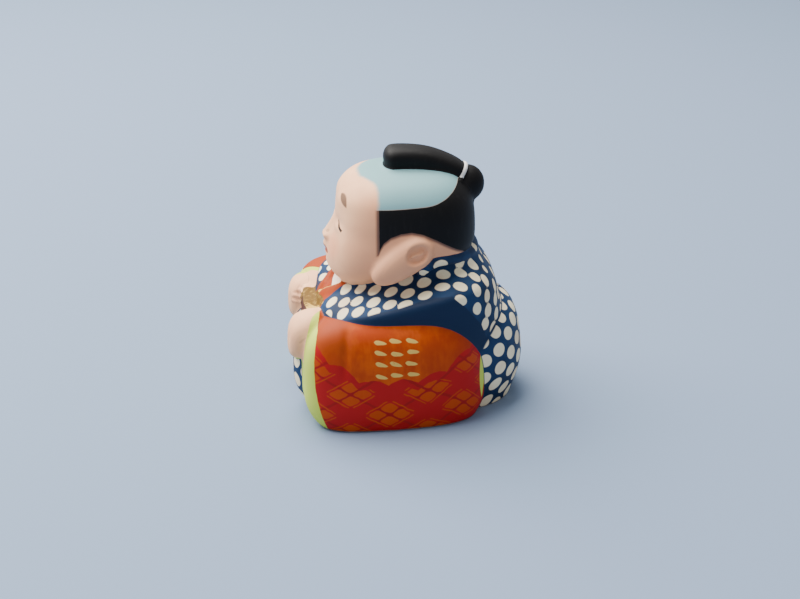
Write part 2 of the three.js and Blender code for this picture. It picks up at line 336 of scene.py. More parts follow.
HEAD_SECTIONS = [
    [38, 2, 2, 0, 2],
    [38.8, -11.5, 12, 11, 2.2],
    [40.2, -19.6, 16, 15.6, 2.6],
    [43.4, -23.2, 19, 18.6, 2.7],
    [47.5, -23.8, 20.6, 20.2, 2.7],
    [52, -23, 20.8, 20.6, 2.7],
    [57, -21.4, 20.8, 20.4, 2.7],
    [62, -20.8, 20.4, 20.1, 2.6],
    [67, -19.9, 18.9, 18.7, 2.5],
    [70.6, -17, 15.6, 15.4, 2.4],
    [72.5, -12.4, 10.6, 11, 2.2],
    [73.3, -7, 3, 5.6, 2],
    [73.5, -2, -2, 0, 2],
]
JAW_RISE = 7.8
JAW_FROM = -20
JAW_TO = 6
JAW_FELT = (40, 57)
NECK_MIDDLE = (0, 3.5, 45)
NECK_HALF = (15, 15.4, 9)


def lift_jaw(q):
    rise = JAW_RISE * smoothstep(q[:, 1], JAW_FROM, JAW_TO) * (1 - smoothstep(q[:, 2], *JAW_FELT))
    return q + rise[:, None] * np.array([0, 0, 1])


press("skull", drawn_mass(HEAD_SECTIONS, lift_jaw))
press("neck", drawn_lump(NECK_MIDDLE, NECK_HALF))


# Ears: long fleshy lobes for good fortune, the broad end behind and the lobe reaching down to the collar.
# Moulded clay, an egg-shaped rise on each side of the head.

EAR_MIDDLE = (20, -2.2, 50.6)
EAR_HALF = (3.9, 10.4, 4.9)
EAR_LEAN = math.radians(35)
EAR_TAPER = 0.14


def egg(q):
    run = q[:, 1] - EAR_MIDDLE[1]
    up = (q[:, 2] - EAR_MIDDLE[2]) * (1 + EAR_TAPER * run / EAR_HALF[1])
    c, s = math.cos(EAR_LEAN), math.sin(EAR_LEAN)
    return np.stack([q[:, 0], EAR_MIDDLE[1] + c * run - s * up, EAR_MIDDLE[2] + s * run + c * up], 1)


press_both_sides("ear", drawn_lump(EAR_MIDDLE, EAR_HALF, plan=2.3, rise=2.3, shape=egg))


# Topknot: a lock folded forward over the shaved crown, with the bun behind its tie.
# Moulded clay, in one with the head.

TOPKNOT_LINE = [(0, -6.6, 75.4), (0, -1, 75.9), (0, 6, 75.2), (0, 12.5, 72.8), (0, 17.2, 69.8)]
TOPKNOT_HALF_WIDE = 5.6
TOPKNOT_SMOOTHED_OFF = 0.09
TOPKNOT_HALF_TALL = TALL + TOPKNOT_SMOOTHED_OFF - TOPKNOT_LINE[1][2]
TOPKNOT_THINS = (0.8, 0.3)
BUN_MIDDLE = (0, 18.6, 67.4)
BUN_HALF = (4.9, 5.2, 5.6)


def topknot_size(share):
    return TOPKNOT_HALF_WIDE - TOPKNOT_THINS[0] * share, TOPKNOT_HALF_TALL - TOPKNOT_THINS[1] * share


press("lock", drawn_roll(TOPKNOT_LINE, topknot_size, square=2.8))
press("bun", drawn_lump(BUN_MIDDLE, BUN_HALF))


# The doll: all the masses pressed into one closed body with a flat foot.
# Low-fired clay under a white ground, its creases softened by the slip and the paint.

CLAY_GRAIN = 0.65
SOFTEN_SHARE = 0.5
SOFTEN_TIMES = 4

bpy.ops.object.select_all(action="DESELECT")
for lump in lumps:
    lump.select_set(True)
bpy.context.view_layer.objects.active = lumps[0]
bpy.ops.object.join()
doll = bpy.context.object
doll.name = "clay_doll_painted"
doll.data.name = "clay_doll_painted"

remesh = doll.modifiers.new("fuse", "REMESH")
remesh.mode = "VOXEL"
remesh.voxel_size = CLAY_GRAIN
bpy.ops.object.modifier_apply(modifier="fuse")


def soften(times):
    smooth = doll.modifiers.new("soften", "SMOOTH")
    smooth.factor = SOFTEN_SHARE
    smooth.iterations = times
    bpy.ops.object.modifier_apply(modifier="soften")


soften(SOFTEN_TIMES)


# Fine forms: the nose, lips and lids, the hollow of the ear, the cord round the topknot, the leaves of the fan
# and a soft fold in the sleeve. There the joined clay's faces are split finer, then moved out or in a little.

FINE_PLACES = [
    ((-14, -40, 43), (14, -14.5, 63)),
    ((19, -15, 39), (30, 10, 62)),
    ((-30, -15, 39), (-19, 10, 62)),
    ((-24, -40, 14), (24, -24, 37)),
    ((-7, 12, 64), (7, 21, 76)),
]
FINE_SOFTEN_TIMES = 3


def inside(points, low, high):
    return np.all((points > np.array(low)) & (points < np.array(high)), axis=1)


centres = np.array([face.center for face in doll.data.polygons])
fine = np.zeros(len(centres), bool)
for low, high in FINE_PLACES:
    fine |= inside(centres, low, high)
bpy.ops.object.mode_set(mode="EDIT")
bpy.ops.mesh.select_mode(type="FACE")
bpy.ops.mesh.select_all(action="DESELECT")
bpy.ops.object.mode_set(mode="OBJECT")
doll.data.polygons.foreach_set("select", fine)
bpy.ops.object.mode_set(mode="EDIT")
bpy.ops.mesh.subdivide(number_cuts=1)
bpy.ops.object.mode_set(mode="OBJECT")
soften(FINE_SOFTEN_TIMES)


def normals_of(piece):
    flat = np.empty(3 * len(piece.data.vertices))
    piece.data.vertex_normals.foreach_get("vector", flat)
    return flat.reshape(-1, 3)


def hill(value, middle, width):
    return np.exp(-((value - middle) / width) ** 2)


points = points_of(doll)
normals = normals_of(doll)
x, y, z = points.T
side = np.abs(x)

FACE_TURNS = (0.1, 0.6)
FACE_BEHIND = -14
FACE_FOOT = (42, 44)
FACE_HALF_WIDE = 16
facing = smoothstep(-normals[:, 1], *FACE_TURNS) * (y < FACE_BEHIND)
facing = facing * smoothstep(z, *FACE_FOOT) * (side < FACE_HALF_WIDE)

NOSE_TIP = 52.6
NOSE_ROOT = 59.4
NOSE_RISE = 2.2
NOSE_FALL = 0.95
NOSE_UNDER = (-2.6, 0.4)
NOSE_SPREAD = 1.5
NOSE_TIP_SPREAD = 1.1
up_nose = np.clip((z - NOSE_TIP) / (NOSE_ROOT - NOSE_TIP), 0, 1)
nose_height = NOSE_RISE * (1 - up_nose) ** NOSE_FALL * smoothstep(z - NOSE_TIP, *NOSE_UNDER)
forms = nose_height * hill(x, 0, NOSE_SPREAD + NOSE_TIP_SPREAD * (1 - up_nose))

# Each low form of the face: its rise, how far to the side and how high it lies, and its spread both ways.
FACE_FORMS = {
    "nose wing": (0.9, (2.4, 52.4), (1.1, 1.1)),
    "above the lip": (1.1, (0, 50), (3, 1.3)),
    "upper lip": (0.45, (0, 48.9), (2.8, 0.7)),
    "lower lip": (0.45, (0, 47), (2.8, 0.8)),
    "between the lips": (-0.25, (0, 48), (3, 0.35)),
    "chin": (0.5, (0, 43.8), (4, 1.6)),
    "eye socket": (-0.55, (7.6, 58.6), (4.2, 2.2)),
    "eyelid": (0.5, (7.6, 57.2), (3.4, 1.1)),
    "brow bone": (0.35, (8.5, 65.5), (4.5, 2.4)),
}
for rise, (aside, height), (spread_aside, spread_up) in FACE_FORMS.values():
    forms = forms + rise * hill(side, aside, spread_aside) * hill(z, height, spread_up)
y = y - facing * forms

HOLLOW_AT = 5
HOLLOW_HALF = (3.5, 2.9)
HOLLOW_DEPTH = 1.5
HOLLOW_EASE = (0.62, 1.08)
CURL_SWING = 0.4
CURL_TURN = 1.1
CURL_LIFT = 0.1
CURL_RISE = 0.7
CURL_HALF = 0.55
CURL_EASE = (0.45, 0.85)
RIM_RISE = 0.3
RIM_AT = 1.3
RIM_HALF = 0.22
RIM_FROM = (2, 6)
EAR_STANDS_OUT = (20.5, 22)
behind_ear = y - EAR_MIDDLE[1]
above_ear = z - EAR_MIDDLE[2]
along_ear = math.cos(EAR_LEAN) * behind_ear + math.sin(EAR_LEAN) * above_ear
across_ear = math.cos(EAR_LEAN) * above_ear - math.sin(EAR_LEAN) * behind_ear
from_hollow = np.hypot((along_ear - HOLLOW_AT) / HOLLOW_HALF[0], across_ear / HOLLOW_HALF[1])
on_ear = smoothstep(side, *EAR_STANDS_OUT)
bowl = HOLLOW_DEPTH * (1 - smoothstep(from_hollow, *HOLLOW_EASE))
curl = across_ear + CURL_SWING * np.sin(CURL_TURN * (along_ear - HOLLOW_AT)) + CURL_LIFT
fold = CURL_RISE * hill(curl, 0, CURL_HALF) * (1 - smoothstep(from_hollow, *CURL_EASE))
rim = RIM_RISE * hill(from_hollow, RIM_AT, RIM_HALF) * smoothstep(along_ear, *RIM_FROM)
x = x - np.sign(x) * on_ear * (bowl - fold - rim)

TIE_MIDDLE = (0, 16.2, 70.4)
TIE_LEAN = math.radians(58)
TIE_THICK = 0.75
TIE_RISE = 0.6
TIE_REACH = 6.5
TIE_FOOT = 66
tie_axis = np.array([0, math.sin(TIE_LEAN), -math.cos(TIE_LEAN)])
from_tie = (points - np.array(TIE_MIDDLE)) @ tie_axis
near_tie = np.linalg.norm(points - np.array(TIE_MIDDLE), axis=1) < TIE_REACH
cord = TIE_RISE * np.sqrt(np.clip(1 - (from_tie / TIE_THICK) ** 2, 0, 1)) * near_tie * (z > TIE_FOOT)

FAN_LEAF = 1.9
LEAF_RISE = 0.22
LEAF_SLANT = 0.12
FAN_ENDS = (9, 10)
FAN_FRONT = (28.5, 30)
FAN_FOOT = (25.5, 26.5)
FAN_TOP = (33, 34)
on_fan = (1 - smoothstep(side, *FAN_ENDS)) * smoothstep(-y, *FAN_FRONT)
on_fan = on_fan * smoothstep(z, *FAN_FOOT) * (1 - smoothstep(z, *FAN_TOP))
leaves = LEAF_RISE * np.sin(2 * math.pi * (z + LEAF_SLANT * x) / FAN_LEAF) * on_fan

SLEEVE_FOLD = -19.3
FOLD_SLANT = 0.08
FOLD_MIDDLE = 26
FOLD_DEPTH = 0.45
FOLD_HALF = 1.1
FOLD_FOOT = (15, 23)
FOLD_TOP = (31, 33.5)
FOLD_SIDE = 22
fold_line = SLEEVE_FOLD + FOLD_SLANT * (z - FOLD_MIDDLE)
dent = -FOLD_DEPTH * hill(y, fold_line, FOLD_HALF) * smoothstep(z, *FOLD_FOOT)
dent = dent * (1 - smoothstep(z, *FOLD_TOP)) * (side > FOLD_SIDE)

points = np.stack([x, y, z], 1) + (cord + leaves + dent)[:, None] * normals
put_points(doll, points)
bpy.ops.object.shade_smooth()


# Paint fields: how far each place is inside its own part of the doll, and where it lies on that part, in
# millimetres. The painter's edges follow the creases, and the patterns follow the cloth.

REACH = 4
PARTS = {
    "trousers": ["seat", "knee_left", "knee_right"],
    "cape": ["cape", "collar", "neckband_left", "neckband_right"],
    "sleeve": ["sleeve_left", "sleeve_right"],
    "head": ["skull", "neck", "ear_left", "ear_right"],
    "hair_knot": ["lock", "bun"],
    "fist": ["fist_left", "fist_right"],
    "fan": ["fan"],
}
STEPS = np.linspace(0, 1, 25)
LAID_FROM = {
    "seat": (math.pi / 2, 1),
    "knee_left": (-math.pi / 2, 1),
    "knee_right": (-math.pi / 2, 1),
    "sleeve_left": (0, 1),
    "sleeve_right": (math.pi, -1),
}


def length_of(place, paths):
    count, steps, _ = paths.shape
    walked = place(paths.reshape(-1, 3)).reshape(count, steps, 3)
    return np.linalg.norm(np.diff(walked, axis=1), axis=2).sum(1)


def length_round(mass, start_turn):
    d = mass["directions"]
    swing = (np.arctan2(d[:, 1], d[:, 0]) - start_turn + math.pi) % (2 * math.pi) - math.pi
    turn = start_turn + swing[:, None] * STEPS
    level = np.hypot(d[:, 0], d[:, 1])[:, None]
    height = np.broadcast_to(d[:, 2:3], turn.shape)
    paths = np.stack([level * np.cos(turn), level * np.sin(turn), height], 2)
    return np.sign(swing) * length_of(mass["place"], paths)


def length_up(mass, start_share):
    d = mass["directions"]
    start = math.pi * (1 - start_share)
    tip = np.arccos(np.clip(d[:, 2], -1, 1)) - start
    angle = start + tip[:, None] * STEPS
    turn = np.arctan2(d[:, 1], d[:, 0])[:, None]
    paths = np.stack([np.sin(angle) * np.cos(turn), np.sin(angle) * np.sin(turn), np.cos(angle)], 2)
    return -np.sign(tip) * length_of(mass["place"], paths)


for name, (start_turn, way) in LAID_FROM.items():
    mass = masses[name]
    mass["lay"] = np.stack([way * length_round(mass, start_turn), length_up(mass, 0.5)], 1)


def nearest_on(name, places):
    mass = masses[name]
    corners = [Vector(q) for q in mass["points"]]
    lay = mass.get("lay")
    gap = np.full(len(places), float(REACH))
    lies = np.zeros((len(places), 2))
    for i, q in enumerate(places.tolist()):
        spot, _, face, distance = mass["tree"].find_nearest(q, REACH)
        if spot is None:
            continue
        gap[i] = distance
        if lay is not None:
            ring = mass["faces"][face]
            weights = poly_3d_calc([corners[k] for k in ring], spot)
            lies[i] = np.array(weights) @ lay[ring]
    return gap, lies


gaps = {}
lies = {}
for part, names in PARTS.items():
    gaps[part] = np.full(len(points), float(REACH))
    lies[part] = np.zeros((len(points), 2))
    for name in names:
        gap, lie = nearest_on(name, points)
        closer = gap < gaps[part]
        gaps[part][closer] = gap[closer]
        lies[part][closer] = lie[closer]


def keep_number(name, values):
    attribute = doll.data.attributes.new(name, "FLOAT", "POINT")
    attribute.data.foreach_set("value", np.ascontiguousarray(values, dtype=np.float32))


def keep_lay(name, values):
    attribute = doll.data.attributes.new(name, "FLOAT_VECTOR", "POINT")
    flat = np.zeros((len(values), 3), np.float32)
    flat[:, :2] = values
    attribute.data.foreach_set("vector", flat.ravel())


for part in PARTS:
    others = np.min([gaps[other] for other in PARTS if other != part], axis=0)
    keep_number("on_" + part, others - gaps[part])
for part in ("trousers", "sleeve"):
    keep_lay("lay_" + part, lies[part])


def edge_at(value, knots):
    return np.interp(value, *zip(*knots))


HAIR_LOW_EDGE = [
    (-9.1, 53.2), (-8.4, 54.9), (-7.5, 56.4), (-5.5, 58.1), (-2.6, 59.2), (0.5, 59.6), (4, 58.8), (7.8, 56.8),
    (11.7, 54.4), (15.7, 51.8), (18, 49.4), (20.5, 47),
]
x, y, z = points.T
side = np.abs(x)
HAIR_TOP = 66.1
HAIR_TOP_SLOPE = 0.055
HAIR_TOP_SLOPE_FROM = -4
HAIR_TOP_CURVE = 0.033
HAIR_TOP_CURVE_FROM = 5
hair_top = HAIR_TOP + HAIR_TOP_SLOPE * (y - HAIR_TOP_SLOPE_FROM)
hair_top = hair_top + HAIR_TOP_CURVE * np.maximum(0, y - HAIR_TOP_CURVE_FROM) ** 2
keep_number("under_hair_top", hair_top - z)
keep_number("over_hair_low", z - edge_at(y, HAIR_LOW_EDGE))

BOARD_TOP = [(-20.6, 33.6), (-9, 36.9), (-3.5, 38.1), (2.8, 39.9), (6.9, 40.8), (12.2, 41.3)]
BOARD_BEHIND = [(23.8, 23.5), (30.4, 21.2), (37.5, 15.9), (41.1, 12.2)]
keep_number("on_board", np.minimum(edge_at(y, BOARD_TOP) - z, edge_at(z, BOARD_BEHIND) - y))

NEAR_LAPEL_UPPER = [(-28, -3), (-26.8, -0.4), (-24.9, 3.5), (-22.6, 5.5), (-20.1, 7.9), (-17, 10.5)]
NEAR_LAPEL_LOWER = [(-26.6, 13), (-24.8, 10.4), (-22.2, 9.9), (-19.9, 10.1), (-17, 10.5)]
LAPEL_TRIM_WIDE = [(-26, 1.8), (-20, 0.8)]
FAR_LAPEL_LEFT = [(-27, -2.6), (-26.2, -3.4), (-24.8, -4.5), (-22.8, -6.5), (-18, -11.3)]
FAR_LAPEL_BACK = [(-12, -12.2), (-2.8, -21.4), (0.1, -22.2), (4.6, -22.6), (8, -22.6)]
THROAT_BEHIND = -12
THROAT_FOOT = 31
upper = edge_at(y, NEAR_LAPEL_UPPER)
near_lapel = np.minimum(x - upper, edge_at(y, NEAR_LAPEL_LOWER) - x)
behind_far_lapel = y - edge_at(x, FAR_LAPEL_BACK)
far_lapel = np.minimum(x - edge_at(y, FAR_LAPEL_LEFT), np.minimum(-behind_far_lapel, upper - x))
at_throat = np.minimum(THROAT_BEHIND - y, z - THROAT_FOOT)
trim_edge = edge_at(y, LAPEL_TRIM_WIDE) + upper
keep_number("on_lapels", np.minimum(np.maximum(near_lapel, far_lapel), at_throat))
keep_number("on_lapel_trim", np.minimum(np.minimum(near_lapel, trim_edge - x), at_throat))
keep_number("on_throat", np.minimum(np.minimum(upper - x, behind_far_lapel), at_throat))

NEAR_HAND_EDGE = [
    (10, -24.5), (14, -26), (16, -27.2), (18.6, -28.8), (21, -29.8), (22.4, -30.9), (23.4, -32.5),
]
FAR_HAND_EDGE = [(-36, 19.5), (-33.5, 17), (-31.2, 15.2), (-28.7, 14.7), (-26.3, 12), (-25, 10)]
FAR_SIDE = (0, 10)
FAR_HAND_BEHIND = -24.5
FAR_HAND_RISES = (28, 31)
HAND_FOOT = 20
far = smoothstep(-x, *FAR_SIDE)
near_hand = edge_at(side, NEAR_HAND_EDGE) - ARM_REACH * far - y
far_hand = np.minimum(edge_at(y, FAR_HAND_EDGE) - side, FAR_HAND_BEHIND - y)
hand = near_hand + (far_hand - near_hand) * far * smoothstep(z, *FAR_HAND_RISES)
keep_number("on_hand", np.minimum(hand, z - HAND_FOOT))

GOLD_TOP = [(-7.6, 31), (-3.3, 32.6), (-1.2, 33.1), (6.8, 35), (11.2, 34.7), (12.5, 32.7), (14, 31)]
FAN_FACE_TOP = [(-3, -32.6), (-0.9, -31.4), (1.7, -31.35), (6.2, -30.9), (13, -29.6)]
GOLD_MIDDLE = 6
GOLD_HALF = 8
GOLD_BEHIND = -23
GOLD_FOOT = 22
FAN_FACE_FOOT = 24
gold_sides = GOLD_HALF - np.abs(x - GOLD_MIDDLE)
keep_number("on_gold", np.min([edge_at(x, GOLD_TOP) - z, gold_sides, GOLD_BEHIND - y, z - GOLD_FOOT], axis=0))
keep_number("on_fan_face", np.minimum(edge_at(x, FAN_FACE_TOP) - y, z - FAN_FACE_FOOT))

FAR_CUFF_EDGE = [(13.5, -2.4), (17.5, 0), (20.5, 1.8)]
FAR_CUFF_OUT = 2.6
FAR_CUFF_RISES = (20, 33)
FAR_CUFF_TURNS = (28, 32)
CUFF_EDGE = -28.5
CUFF_CURVE_ABOVE = 0.013
CUFF_ABOVE = 21
CUFF_CURVE_BELOW = 0.0105
CUFF_BELOW = 19
cuff_turn = edge_at(side, FAR_CUFF_EDGE) * smoothstep(z, *FAR_CUFF_TURNS)
held_out = far * (FAR_CUFF_OUT * smoothstep(z, *FAR_CUFF_RISES) + cuff_turn)
cuff_curve = CUFF_CURVE_ABOVE * np.maximum(z - CUFF_ABOVE, 0) ** 2
cuff_curve = cuff_curve + CUFF_CURVE_BELOW * np.minimum(z - CUFF_BELOW, 0) ** 2
keep_number("on_cuff", cuff_curve + CUFF_EDGE - held_out - y)

# Lines along the creases between the fingers, where the hands get painted shade.
FINGER_SHADE_LINES = [
    [(-11.6, -35.5, 28.2), (-10.1, -35.3, 27.1), (-9, -34.7, 25.8)],
    [(-10.6, -32.2, 31.2), (-9.6, -33.2, 30.2), (-8.8, -33, 28.8)],
    [(21.8, -32.5, 26.5), (21.6, -30.8, 27.9)],
]
FAR_AWAY = 9
to_shade_line = np.full(len(points), float(FAR_AWAY))
for line in FINGER_SHADE_LINES:
    for start, end in zip(line, line[1:]):
        groove = np.subtract(end, start)
        share = np.clip((points - start) @ groove / (groove @ groove), 0, 1)
        to_shade_line = np.minimum(to_shade_line, np.linalg.norm(points - start - share[:, None] * groove, axis=1))
keep_number("to_finger_shade_line", to_shade_line)

SHOULDER_DOTS = [
    (18.7, -24, 33.1), (13.8, -23, 35.7), (20.8, -19.8, 35.3), (16.4, -19.4, 36.7), (11.4, -18.5, 38.3),
    (22.5, -15.4, 36.2), (18.2, -15.3, 37.6), (13.7, -14.3, 39.4), (24.2, -10.6, 36.8), (20.3, -10.8, 38.2),
    (15.8, -10.4, 40.1), (22.9, -6, 38.5), (18.2, -5.4, 40.6), (24.7, -1.7, 38.8), (20.6, -0.5, 40.7),
    (16.5, -0.7, 43.2), (22.8, 4.3, 41), (18.1, 4.5, 43.1), (20.8, 9.5, 42.7), (17, 10, 44.6),
    (19.7, 8.9, 48.8), (24.9, 14.3, 39.7), (21.6, 14.8, 42.9), (16.2, 15, 45.1), (22.3, 19.6, 36.3),
    (21.5, 19.5, 41.4), (17.4, 19.3, 44.2), (12.9, 19.1, 45.9), (19.3, 23.2, 33.9), (19, 23, 38.9),
    (16.4, 22.6, 42.6), (15.8, 26.1, 31.5), (14.9, 25.9, 36), (12.9, 25.7, 39.6), (6.1, 26, 41),
    (20.4, 22.2, 30), (17.7, 25.1, 27.6),
]
SMALL_DOTS = [(19.1, 4.2, 46.4), (14, 14.8, 47.8), (11.2, 22.8, 43.9), (7.4, 22.5, 46)]
RIGHT_FRONT_DOTS = [(-5.9, -25.2, 35.6), (-8.2, -22.2, 37.8), (-12.6, -26.4, 34.9), (-12.7, -22.6, 37.4)]
MIDDLE_DOTS = [(0, 22.5, 46.2), (0, 25, 42), (0, 26.5, 37.6), (0, 27.5, 33.2)]
DOT_ROOM = 4.6
DOT_HALVES = (2.2, 1.62, 2)
DOT_TURN = [(-22, -50), (-6, -30), (4, -20), (9.5, 0), (15, 30), (19.5, 45), (26, 60)]
DOT_DIP = [(9.5, 0), (15, 0.5), (19.5, 0.8), (26, 0.9)]
DOT_SHRINKS = [(12, 1), (20, 0.92)]
SMALL_DOT = 0.72
DOT_VARIES = 0.05
MIRRORED_BEHIND = -21
CAPE_TOUCHES = 0.6
HEAD_CLEARS = 1.2
BACK_FROM = 14
BACK_FOOT = 24


def distance_to(place):
    return np.linalg.norm(points - place, axis=1)


mirror = np.array([-1, 1, 1])
dot_middles = [(np.array(q), 1) for q in SHOULDER_DOTS + RIGHT_FRONT_DOTS + MIDDLE_DOTS]
dot_middles += [(np.array(q), SMALL_DOT) for q in SMALL_DOTS]
dot_middles += [(q * mirror, share) for q, share in dot_middles if q[0] > 0 and q[1] > MIRRORED_BEHIND]
room = np.min([distance_to(q) for q, share in dot_middles], axis=0)
on_back = (gaps["cape"] < CAPE_TOUCHES) & (gaps["head"] > HEAD_CLEARS)
on_back &= (y > BACK_FROM) & (z > BACK_FOOT) & (side > DOT_ROOM / 2)
while (on_back & (room > DOT_ROOM)).any():
    next_dot = points[np.argmin(np.where(on_back & (room > DOT_ROOM), room, np.inf))]
    for q in (next_dot, next_dot * mirror):
        dot_middles.append((q, 1))
        room = np.minimum(room, distance_to(q))

normals = normals_of(doll)
in_dots = np.full(len(points), -float(FAR_AWAY))
for (q, share), varied in zip(dot_middles, np.random.default_rng(5).uniform(-1, 1, len(dot_middles))):
    middle = np.argmin(distance_to(q))
    outward = normals[middle]
    turn = np.sign(q[0]) * math.radians(edge_at(q[1], DOT_TURN))
    lengthwise = np.array([math.sin(turn), math.cos(turn), -edge_at(q[1], DOT_DIP)])
    lengthwise -= outward * (lengthwise @ outward)
    lengthwise /= np.linalg.norm(lengthwise)
    crosswise = np.cross(outward, lengthwise)
    long, short, deep = np.array(DOT_HALVES) * share * edge_at(q[1], DOT_SHRINKS) * (1 + DOT_VARIES * varied)
    away = points - points[middle]
    shares = [away @ lengthwise / long, away @ crosswise / short, away @ outward / deep]
    reach = np.sqrt(sum(share ** 2 for share in shares))
    in_dots = np.maximum(in_dots, (1 - reach) * short)
keep_number("in_shoulder_dots", in_dots)

put_points(doll, points * MM)


# The paint: matt distemper brushed over a white ground, coat over coat, with a painter's unsteady edges.

clay = bpy.data.materials.new("painted_clay_finish")
clay.use_nodes = True
nodes = clay.node_tree.nodes
links = clay.node_tree.links
finish = nodes["Principled BSDF"]


class Reading:
    """A number that the material works out at each place on the clay."""

    def __init__(self, socket):
        self.socket = socket

    def __add__(self, other):
        return worked("ADD", self, other)

    def __sub__(self, other):
        return worked("SUBTRACT", self, other)

    def __rsub__(self, other):
        return worked("SUBTRACT", other, self)

    def __mul__(self, other):
        return worked("MULTIPLY", self, other)

    def __truediv__(self, other):
        return worked("DIVIDE", self, other)

    def __neg__(self):
        return worked("MULTIPLY", self, -1)

    __radd__ = __add__
    __rmul__ = __mul__


def feed(socket, value):
    if isinstance(value, Reading):
        links.new(value.socket, socket)
    else:
        socket.default_value = value


def worked(operation, *values):
    node = nodes.new("ShaderNodeMath")
    node.operation = operation
    for socket, value in zip(node.inputs, values):
        feed(socket, value)
    return Reading(node.outputs[0])


def least(first, *rest):
    for other in rest:
        first = worked("MINIMUM", first, other)
    return first


def most(first, *rest):
    for other in rest:
        first = worked("MAXIMUM", first, other)
    return first


def size_of(value):
    return worked("ABSOLUTE", value)


def squared(value):
    return worked("POWER", value, 2)


def eased(value, low, high, start=0, end=1):
    node = nodes.new("ShaderNodeMapRange")
    node.interpolation_type = "SMOOTHSTEP"
    for socket, setting in zip(node.inputs, (value, low, high, start, end)):
        feed(socket, setting)
    return Reading(node.outputs[0])


def inside_edge(field, soft=0.1):
    return eased(field, -soft, soft)


def attribute(name, output="Fac"):
    node = nodes.new("ShaderNodeAttribute")
    node.attribute_name = name
    return Reading(node.outputs[output])


def three(vector):
    node = nodes.new("ShaderNodeSeparateXYZ")
    links.new(vector.socket, node.inputs[0])
    return [Reading(output) for output in node.outputs]


def vector_of(x=0, y=0, z=0):
    node = nodes.new("ShaderNodeCombineXYZ")
    for socket, value in zip(node.inputs, (x, y, z)):
        feed(socket, value)
    return Reading(node.outputs[0])


def mottle(vector, scale, detail=2, output="Fac"):
    node = nodes.new("ShaderNodeTexNoise")
    links.new(vector.socket, node.inputs["Vector"])
    node.inputs["Scale"].default_value = scale
    node.inputs["Detail"].default_value = detail
    return Reading(node.outputs[output])


def chance(vector):
    node = nodes.new("ShaderNodeTexWhiteNoise")
    node.noise_dimensions = "3D"
    links.new(vector.socket, node.inputs["Vector"])
    return three(Reading(node.outputs["Color"]))


def coat(under, colour, share):
    node = nodes.new("ShaderNodeMix")
    node.data_type = "RGBA"
    feed(node.inputs[0], share)
    feed(node.inputs[6], under)
    feed(node.inputs[7], colour)
    return Reading(node.outputs[2])


def paint(red, green, blue):
    def linear(value):
        value /= 255
        return value / 12.92 if value <= 0.04045 else ((value + 0.055) / 1.055) ** 2.4
    return linear(red), linear(green), linear(blue), 1


coordinates = nodes.new("ShaderNodeTexCoord")
enlarge = nodes.new("ShaderNodeVectorMath")
enlarge.operation = "SCALE"
enlarge.inputs["Scale"].default_value = 1 / MM
links.new(coordinates.outputs["Object"], enlarge.inputs[0])
spot = Reading(enlarge.outputs[0])
x, y, z = three(spot)
side = size_of(x)
wander = (mottle(spot, 0.45, 1) - 0.5) * 0.7

NAVY = paint(20, 54, 92)
NAVY_DEEP = paint(12, 36, 66)
CREAM = paint(255, 242, 204)
CREAM_THIN = paint(240, 216, 178)
ORANGE = paint(204, 82, 0)
ORANGE_DEEP = paint(158, 40, 0)
ORANGE_DARK = paint(156, 58, 0)
ORANGE_LOW_SHADE = paint(190, 66, 0)
NET_RED = paint(176, 8, 18)
NET_DARK = paint(126, 8, 8)
CUFF_GREEN = paint(200, 216, 84)
GOLD = paint(108, 78, 18)
GOLD_PALE = paint(224, 184, 92)
GOLD_DARK = paint(112, 78, 18)
SKIN = paint(255, 196, 150)
SKIN_SHADE = paint(236, 172, 132)
CHEEK_PAINTED_SHADE = paint(220, 146, 108)
BLUSH = paint(236, 140, 98)
PATE = paint(124, 166, 170)
HAIR = paint(6, 5, 6)
HAIR_STREAK = paint(16, 15, 15)
HAIR_EDGE = paint(112, 82, 70)
BROW = paint(84, 62, 48)
LID = paint(58, 46, 40)
LIPS = paint(150, 44, 10)
TIE_WHITE = paint(238, 234, 228)
FAN_BROWN = paint(62, 26, 14)
COLLAR_WHITE = paint(255, 240, 222)
BARE_CLAY = paint(206, 176, 146)

tone = mottle(spot, 0.12, 3)
brushed = mottle(vector_of(x * 0.9, y * 0.9, z * 0.16), 0.9, 3)


DOT_STRAY = 0.45
COLUMN_DRIFT = 0.2
DOT_FULL = 1.04
DOT_SIZE_STRAY = 0.08


def dots(lay, pitch, half, seed):
    round_it, up_it, _ = three(lay)
    column = worked("ROUND", round_it / pitch[0])
    across = round_it - column * pitch[0]
    odd = worked("PINGPONG", column, 1)
    drift = chance(vector_of(column, seed))[0]
    shift = odd * (pitch[1] * 0.5) + drift * (pitch[1] * COLUMN_DRIFT)
    row = worked("ROUND", (up_it - shift) / pitch[1])
    along = up_it - shift - row * pitch[1]
    stray_across, stray_along, stray_size = chance(vector_of(column, row, seed))
    across = across + (stray_across - 0.5) * DOT_STRAY
    along = along + (stray_along - 0.5) * DOT_STRAY
    reach = worked("SQRT", squared(across / half[0]) + squared(along / half[1]))
    return (DOT_FULL - reach - stray_size * DOT_SIZE_STRAY) * half[0]


# Trousers: cream dots on navy, in offset rows that follow the cloth.
TROUSERS_DOT_PITCH = (5.2, 6.2)
TROUSERS_DOT_HALF = (2.15, 2.2)
TROUSERS_DOT_SEED = 3
navy = coat(NAVY, NAVY_DEEP, eased(tone, 0.35, 0.7))
cream = coat(CREAM, CREAM_THIN, eased(tone, 0.4, 0.75))
trousers_lay = attribute("lay_trousers", "Vector")
trousers_dots = dots(trousers_lay, TROUSERS_DOT_PITCH, TROUSERS_DOT_HALF, TROUSERS_DOT_SEED) + wander * 0.3
trousers_dots = least(trousers_dots, attribute("on_trousers") - 0.3)
trousers = coat(navy, cream, inside_edge(trousers_dots, 0.12))
